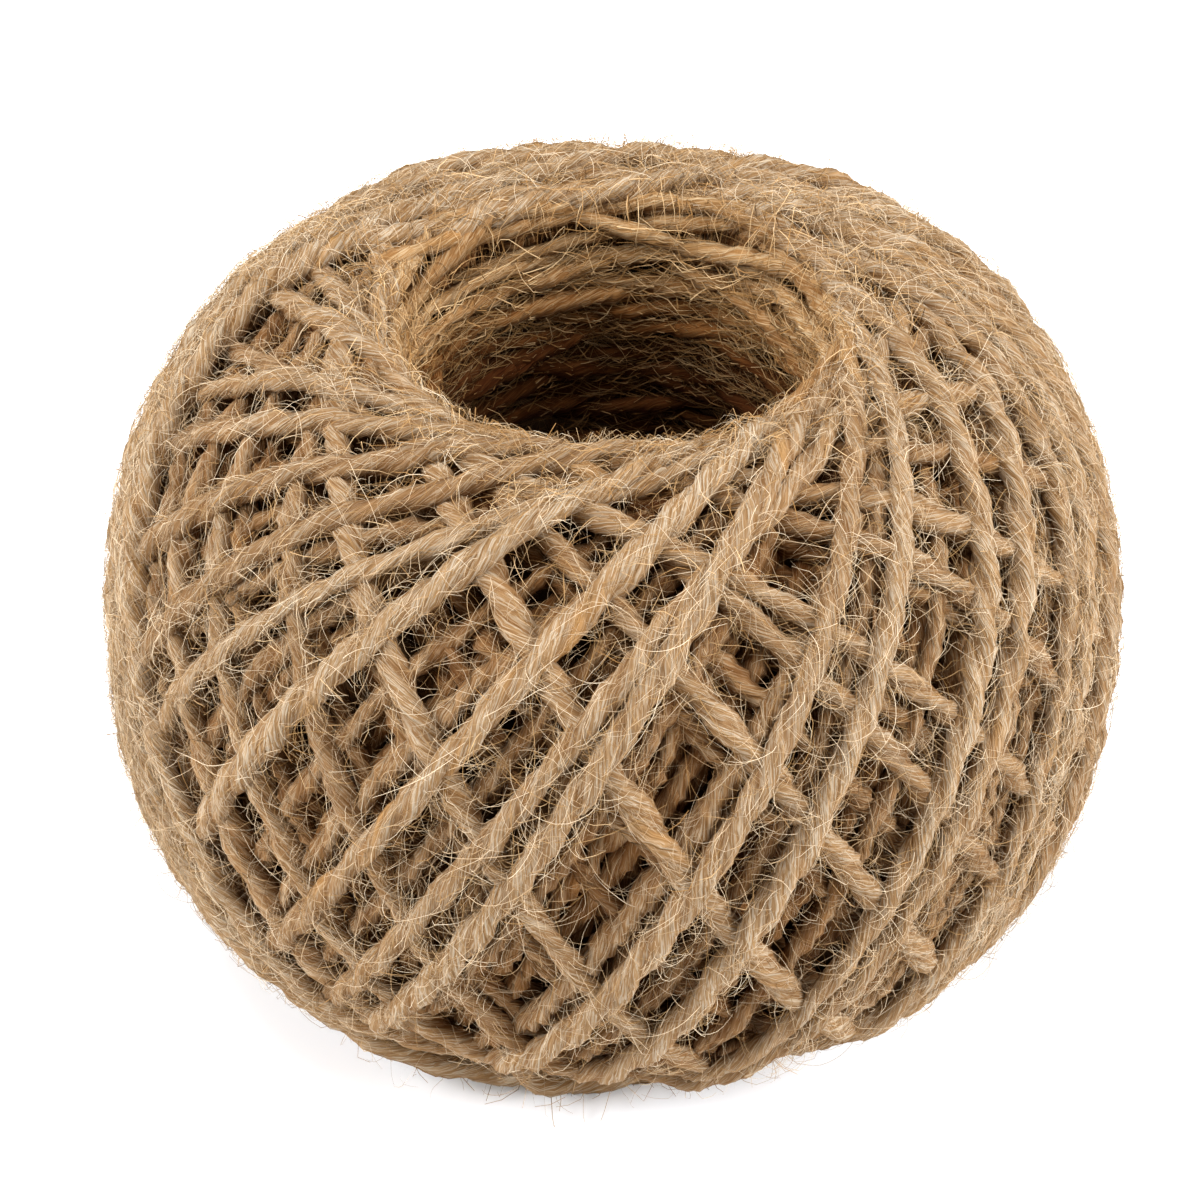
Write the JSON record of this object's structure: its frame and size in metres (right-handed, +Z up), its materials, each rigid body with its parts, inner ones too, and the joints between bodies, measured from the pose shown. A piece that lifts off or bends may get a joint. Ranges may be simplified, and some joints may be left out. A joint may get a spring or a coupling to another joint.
{
  "type": "ball of jute twine",
  "caption": "Squat ball of two-ply natural jute twine, cross-wound round an open core that runs right through, with its outer turns sweeping from rim to rim.",
  "frame": {"origin": "on the surface the ball rests on, at the middle of its flat ring, under the centre of the open core", "axes": "+Z up along the open core; the turns wind evenly round it, so X and Y are free"},
  "size_m": [0.0776, 0.0776, 0.0553],
  "materials": {
    "jute_twine": "matt, hairy natural jute fibre"
  },
  "bodies": {
    "root": {"wound_ball": "jute_twine"}
  },
  "joints": []
}
